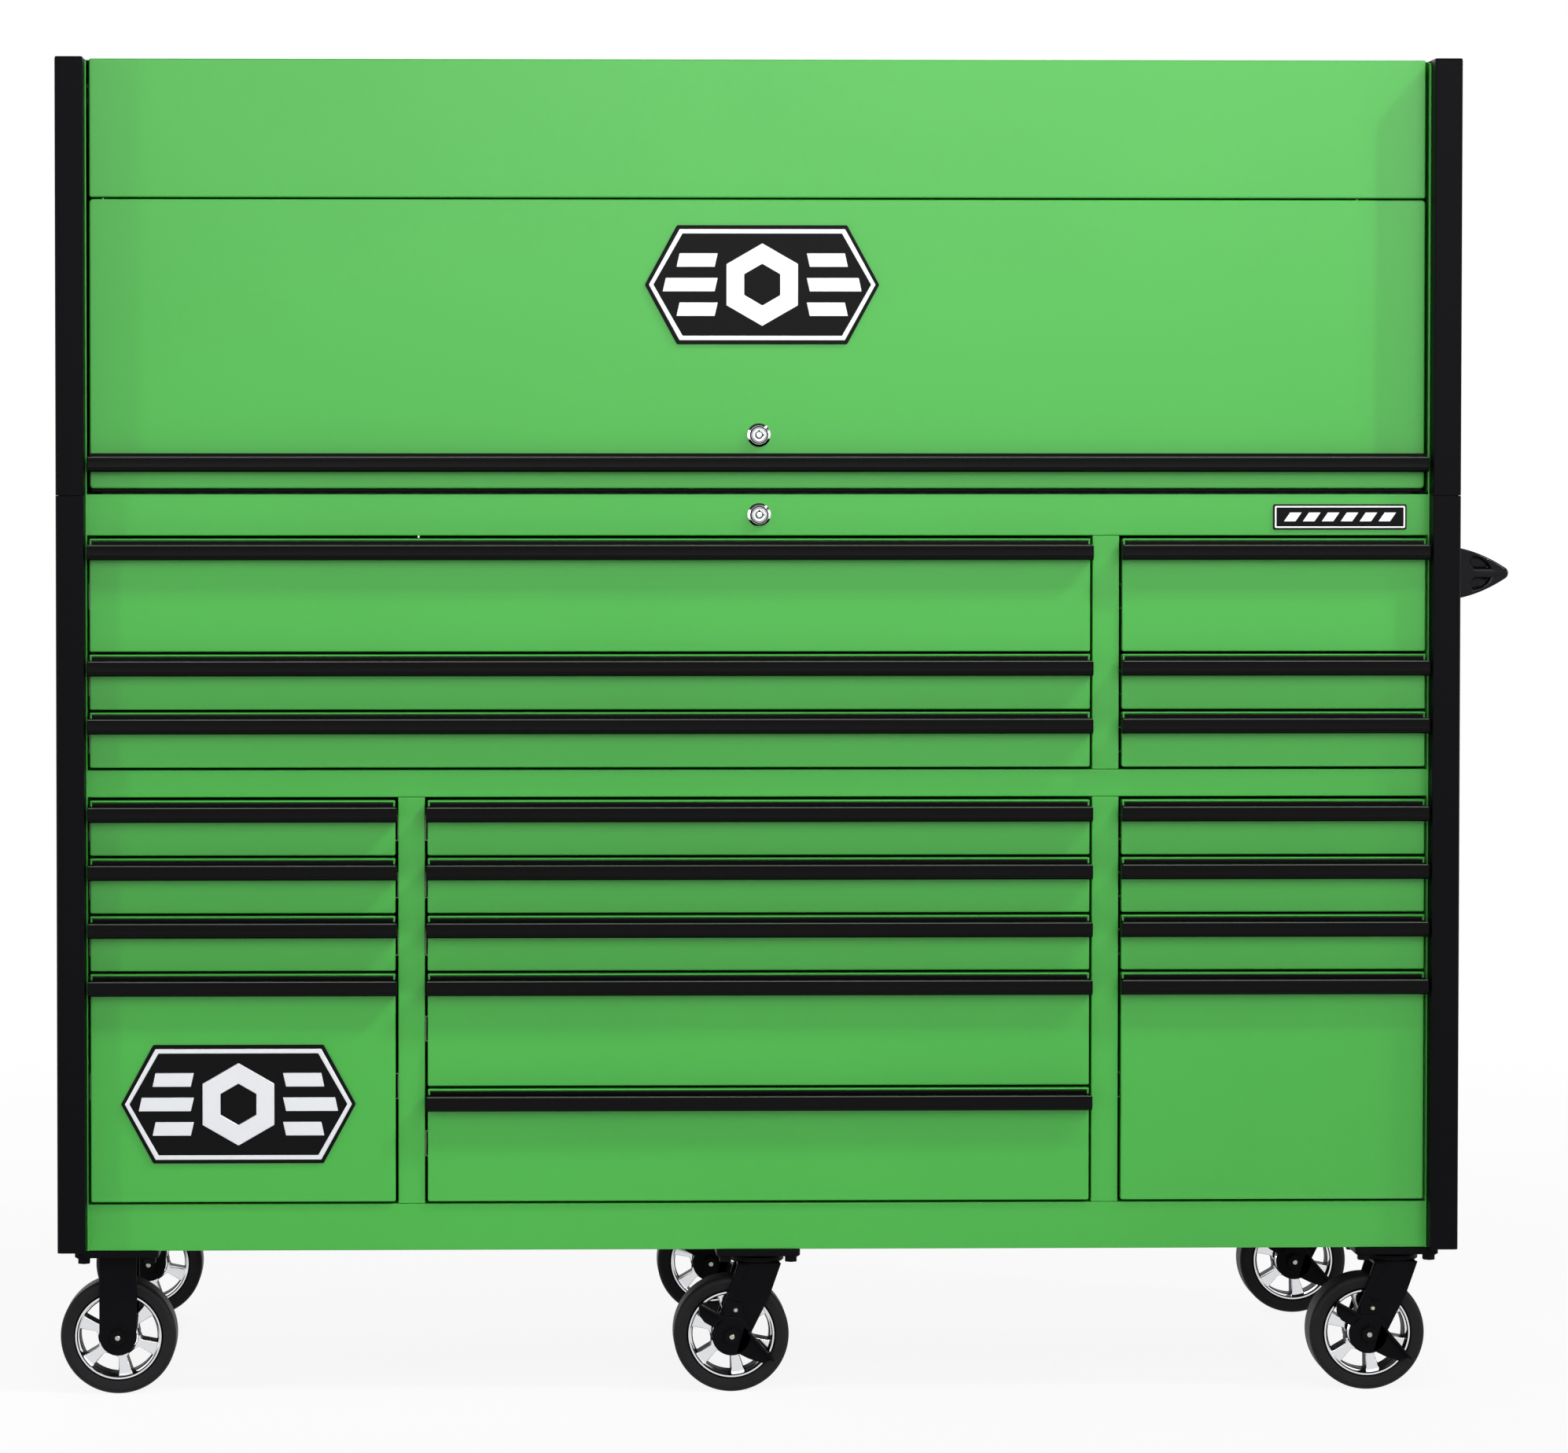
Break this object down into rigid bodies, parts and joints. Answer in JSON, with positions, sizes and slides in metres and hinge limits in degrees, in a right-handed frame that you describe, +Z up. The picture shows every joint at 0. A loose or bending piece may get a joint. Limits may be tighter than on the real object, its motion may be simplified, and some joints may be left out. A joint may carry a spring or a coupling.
{
  "type": "rolling tool chest",
  "caption": "Wide steel roller cabinet with full-width pulls on its drawers and a hutch with a flip-up door, on swivel and rigid casters with a side push handle.",
  "frame": {"origin": "middle of the whole object's footprint, push handle included, on the floor", "axes": "+Z up, -Y out of the drawer fronts, +X towards the push handle on the chest's right side"},
  "size_m": [1.9124, 0.7617, 1.7485],
  "materials": {
    "green_powder_coat": "satin",
    "black_powder_coat": "satin",
    "anodised_aluminium": "satin",
    "chrome": "polished",
    "wheel_rubber": "matte"
  },
  "bodies": {
    "chest": {"cabinet_side_left": "green_powder_coat", "cabinet_side_right": "green_powder_coat", "partition_left": "green_powder_coat", "partition_right": "green_powder_coat", "cabinet_back": "green_powder_coat", "cabinet_top": "green_powder_coat", "face_frame": "green_powder_coat", "cabinet_base": "black_powder_coat", "cabinet_guard_left": "black_powder_coat", "cabinet_guard_right": "black_powder_coat", "hutch_guard_left": "black_powder_coat", "hutch_guard_right": "black_powder_coat", "hutch_shell": "green_powder_coat", "hutch_floor": "black_powder_coat", "handle_bracket_front": "black_powder_coat", "handle_bracket_rear": "black_powder_coat", "push_handle_bar": "black_powder_coat", "rigid_fork_front": "black_powder_coat", "rigid_fork_rear": "black_powder_coat"},
    "drawer_left_4": {"drawer_left_4": "green_powder_coat"},
    "drawer_left_3": {"drawer_left_3": "green_powder_coat"},
    "drawer_left_2": {"drawer_left_2": "green_powder_coat"},
    "drawer_left_1": {"drawer_left_1": "green_powder_coat"},
    "drawer_centre_5": {"drawer_centre_5": "green_powder_coat"},
    "drawer_centre_4": {"drawer_centre_4": "green_powder_coat"},
    "drawer_centre_3": {"drawer_centre_3": "green_powder_coat"},
    "drawer_centre_2": {"drawer_centre_2": "green_powder_coat"},
    "drawer_centre_1": {"drawer_centre_1": "green_powder_coat"},
    "drawer_right_4": {"drawer_right_4": "green_powder_coat"},
    "drawer_right_3": {"drawer_right_3": "green_powder_coat"},
    "drawer_right_2": {"drawer_right_2": "green_powder_coat"},
    "drawer_right_1": {"drawer_right_1": "green_powder_coat"},
    "drawer_upper_wide_3": {"drawer_upper_wide_3": "green_powder_coat"},
    "drawer_upper_wide_2": {"drawer_upper_wide_2": "green_powder_coat"},
    "drawer_upper_wide_1": {"drawer_upper_wide_1": "green_powder_coat"},
    "drawer_upper_right_3": {"drawer_upper_right_3": "green_powder_coat"},
    "drawer_upper_right_2": {"drawer_upper_right_2": "green_powder_coat"},
    "drawer_upper_right_1": {"drawer_upper_right_1": "green_powder_coat"},
    "hutch_door": {"hutch_door": "green_powder_coat", "door_pull": "anodised_aluminium"},
    "strut_cylinder_left": {"strut_cylinder_left": "black_powder_coat"},
    "strut_rod_left": {"strut_rod_left": "chrome"},
    "strut_cylinder_right": {"strut_cylinder_right": "black_powder_coat"},
    "strut_rod_right": {"strut_rod_right": "chrome"},
    "lock_hutch": {"lock_hutch": "chrome"},
    "lock_cabinet": {"lock_cabinet": "chrome"},
    "wheel_left_front": {"wheel_left_front": "wheel_rubber"},
    "wheel_centre_front": {"wheel_centre_front": "wheel_rubber"},
    "swivel_fork_centre_front": {"swivel_fork_centre_front": "black_powder_coat"},
    "brake_pedal_centre_front": {"brake_pedal_centre_front": "black_powder_coat"},
    "wheel_right_front": {"wheel_right_front": "wheel_rubber"},
    "swivel_fork_right_front": {"swivel_fork_right_front": "black_powder_coat"},
    "brake_pedal_right_front": {"brake_pedal_right_front": "black_powder_coat"},
    "wheel_left_rear": {"wheel_left_rear": "wheel_rubber"},
    "wheel_centre_rear": {"wheel_centre_rear": "wheel_rubber"},
    "swivel_fork_centre_rear": {"swivel_fork_centre_rear": "black_powder_coat"},
    "brake_pedal_centre_rear": {"brake_pedal_centre_rear": "black_powder_coat"},
    "wheel_right_rear": {"wheel_right_rear": "wheel_rubber"},
    "swivel_fork_right_rear": {"swivel_fork_right_rear": "black_powder_coat"},
    "brake_pedal_right_rear": {"brake_pedal_right_rear": "black_powder_coat"}
  },
  "joints": [
    {"name": "drawer_left_4_slide", "type": "slide", "parent": "chest", "child": "drawer_left_4", "axis": [0, -1, 0], "range_m": [0, 0.6]},
    {"name": "drawer_left_3_slide", "type": "slide", "parent": "chest", "child": "drawer_left_3", "axis": [0, -1, 0], "range_m": [0, 0.6]},
    {"name": "drawer_left_2_slide", "type": "slide", "parent": "chest", "child": "drawer_left_2", "axis": [0, -1, 0], "range_m": [0, 0.6]},
    {"name": "drawer_left_1_slide", "type": "slide", "parent": "chest", "child": "drawer_left_1", "axis": [0, -1, 0], "range_m": [0, 0.6]},
    {"name": "drawer_centre_5_slide", "type": "slide", "parent": "chest", "child": "drawer_centre_5", "axis": [0, -1, 0], "range_m": [0, 0.6]},
    {"name": "drawer_centre_4_slide", "type": "slide", "parent": "chest", "child": "drawer_centre_4", "axis": [0, -1, 0], "range_m": [0, 0.6]},
    {"name": "drawer_centre_3_slide", "type": "slide", "parent": "chest", "child": "drawer_centre_3", "axis": [0, -1, 0], "range_m": [0, 0.6]},
    {"name": "drawer_centre_2_slide", "type": "slide", "parent": "chest", "child": "drawer_centre_2", "axis": [0, -1, 0], "range_m": [0, 0.6]},
    {"name": "drawer_centre_1_slide", "type": "slide", "parent": "chest", "child": "drawer_centre_1", "axis": [0, -1, 0], "range_m": [0, 0.6]},
    {"name": "drawer_right_4_slide", "type": "slide", "parent": "chest", "child": "drawer_right_4", "axis": [0, -1, 0], "range_m": [0, 0.6]},
    {"name": "drawer_right_3_slide", "type": "slide", "parent": "chest", "child": "drawer_right_3", "axis": [0, -1, 0], "range_m": [0, 0.6]},
    {"name": "drawer_right_2_slide", "type": "slide", "parent": "chest", "child": "drawer_right_2", "axis": [0, -1, 0], "range_m": [0, 0.6]},
    {"name": "drawer_right_1_slide", "type": "slide", "parent": "chest", "child": "drawer_right_1", "axis": [0, -1, 0], "range_m": [0, 0.6]},
    {"name": "drawer_upper_wide_3_slide", "type": "slide", "parent": "chest", "child": "drawer_upper_wide_3", "axis": [0, -1, 0], "range_m": [0, 0.6]},
    {"name": "drawer_upper_wide_2_slide", "type": "slide", "parent": "chest", "child": "drawer_upper_wide_2", "axis": [0, -1, 0], "range_m": [0, 0.6]},
    {"name": "drawer_upper_wide_1_slide", "type": "slide", "parent": "chest", "child": "drawer_upper_wide_1", "axis": [0, -1, 0], "range_m": [0, 0.6]},
    {"name": "drawer_upper_right_3_slide", "type": "slide", "parent": "chest", "child": "drawer_upper_right_3", "axis": [0, -1, 0], "range_m": [0, 0.6]},
    {"name": "drawer_upper_right_2_slide", "type": "slide", "parent": "chest", "child": "drawer_upper_right_2", "axis": [0, -1, 0], "range_m": [0, 0.6]},
    {"name": "drawer_upper_right_1_slide", "type": "slide", "parent": "chest", "child": "drawer_upper_right_1", "axis": [0, -1, 0], "range_m": [0, 0.6]},
    {"name": "door_hinge", "type": "hinge", "parent": "chest", "child": "hutch_door", "pos_m": [-0.04125, -0.3455, 1.5672], "axis": [-1, 0, 0], "range_deg": [0, 90]},
    {"name": "strut_turn_left", "type": "hinge", "parent": "chest", "child": "strut_cylinder_left", "pos_m": [-0.88125, -0.29, 1.54], "axis": [-1, 0, 0], "range_deg": [0, 83.4]},
    {"name": "strut_stroke_left", "type": "slide", "parent": "strut_cylinder_left", "child": "strut_rod_left", "axis": [0, -0.0566, -0.9984], "range_m": [0, 0.08288]},
    {"name": "strut_turn_right", "type": "hinge", "parent": "chest", "child": "strut_cylinder_right", "pos_m": [0.79875, -0.29, 1.54], "axis": [-1, 0, 0], "range_deg": [0, 83.4]},
    {"name": "strut_stroke_right", "type": "slide", "parent": "strut_cylinder_right", "child": "strut_rod_right", "axis": [0, -0.0566, -0.9984], "range_m": [0, 0.08288]},
    {"name": "lock_turn_hutch", "type": "hinge", "parent": "hutch_door", "child": "lock_hutch", "pos_m": [-0.04125, -0.345, 1.259], "axis": [0, 1, 0], "range_deg": [0, 90]},
    {"name": "lock_turn_cabinet", "type": "hinge", "parent": "chest", "child": "lock_cabinet", "pos_m": [-0.04125, -0.353, 1.15485], "axis": [0, 1, 0], "range_deg": [0, 90]},
    {"name": "roll_left_front", "type": "hinge", "parent": "chest", "child": "wheel_left_front", "pos_m": [-0.88075, -0.301, 0.076], "axis": [0, 1, 0], "continuous": true},
    {"name": "swivel_centre_front", "type": "hinge", "parent": "chest", "child": "swivel_fork_centre_front", "pos_m": [-0.04125, -0.301, 0.15], "axis": [0, 0, 1], "continuous": true},
    {"name": "roll_centre_front", "type": "hinge", "parent": "swivel_fork_centre_front", "child": "wheel_centre_front", "pos_m": [-0.07525, -0.301, 0.076], "axis": [0, 1, 0], "continuous": true},
    {"name": "brake_centre_front", "type": "hinge", "parent": "swivel_fork_centre_front", "child": "brake_pedal_centre_front", "pos_m": [-0.07525, -0.301, 0.076], "axis": [0, 1, 0], "range_deg": [0, 14]},
    {"name": "swivel_right_front", "type": "hinge", "parent": "chest", "child": "swivel_fork_right_front", "pos_m": [0.79825, -0.301, 0.15], "axis": [0, 0, 1], "continuous": true},
    {"name": "roll_right_front", "type": "hinge", "parent": "swivel_fork_right_front", "child": "wheel_right_front", "pos_m": [0.76425, -0.301, 0.076], "axis": [0, 1, 0], "continuous": true},
    {"name": "brake_right_front", "type": "hinge", "parent": "swivel_fork_right_front", "child": "brake_pedal_right_front", "pos_m": [0.76425, -0.301, 0.076], "axis": [0, 1, 0], "range_deg": [0, 14]},
    {"name": "roll_left_rear", "type": "hinge", "parent": "chest", "child": "wheel_left_rear", "pos_m": [-0.88075, 0.301, 0.076], "axis": [0, 1, 0], "continuous": true},
    {"name": "swivel_centre_rear", "type": "hinge", "parent": "chest", "child": "swivel_fork_centre_rear", "pos_m": [-0.04125, 0.301, 0.15], "axis": [0, 0, 1], "continuous": true},
    {"name": "roll_centre_rear", "type": "hinge", "parent": "swivel_fork_centre_rear", "child": "wheel_centre_rear", "pos_m": [-0.07525, 0.301, 0.076], "axis": [0, 1, 0], "continuous": true},
    {"name": "brake_centre_rear", "type": "hinge", "parent": "swivel_fork_centre_rear", "child": "brake_pedal_centre_rear", "pos_m": [-0.07525, 0.301, 0.076], "axis": [0, 1, 0], "range_deg": [0, 14]},
    {"name": "swivel_right_rear", "type": "hinge", "parent": "chest", "child": "swivel_fork_right_rear", "pos_m": [0.79825, 0.301, 0.15], "axis": [0, 0, 1], "continuous": true},
    {"name": "roll_right_rear", "type": "hinge", "parent": "swivel_fork_right_rear", "child": "wheel_right_rear", "pos_m": [0.76425, 0.301, 0.076], "axis": [0, 1, 0], "continuous": true},
    {"name": "brake_right_rear", "type": "hinge", "parent": "swivel_fork_right_rear", "child": "brake_pedal_right_rear", "pos_m": [0.76425, 0.301, 0.076], "axis": [0, 1, 0], "range_deg": [0, 14]}
  ],
  "couplings": [
    {"joint": "strut_turn_left", "follows": "door_hinge", "ratio": 0.92652},
    {"joint": "strut_stroke_left", "follows": "door_hinge", "m_per_rad": 0.052755},
    {"joint": "strut_turn_right", "follows": "door_hinge", "ratio": 0.92652},
    {"joint": "strut_stroke_right", "follows": "door_hinge", "m_per_rad": 0.052755}
  ]
}
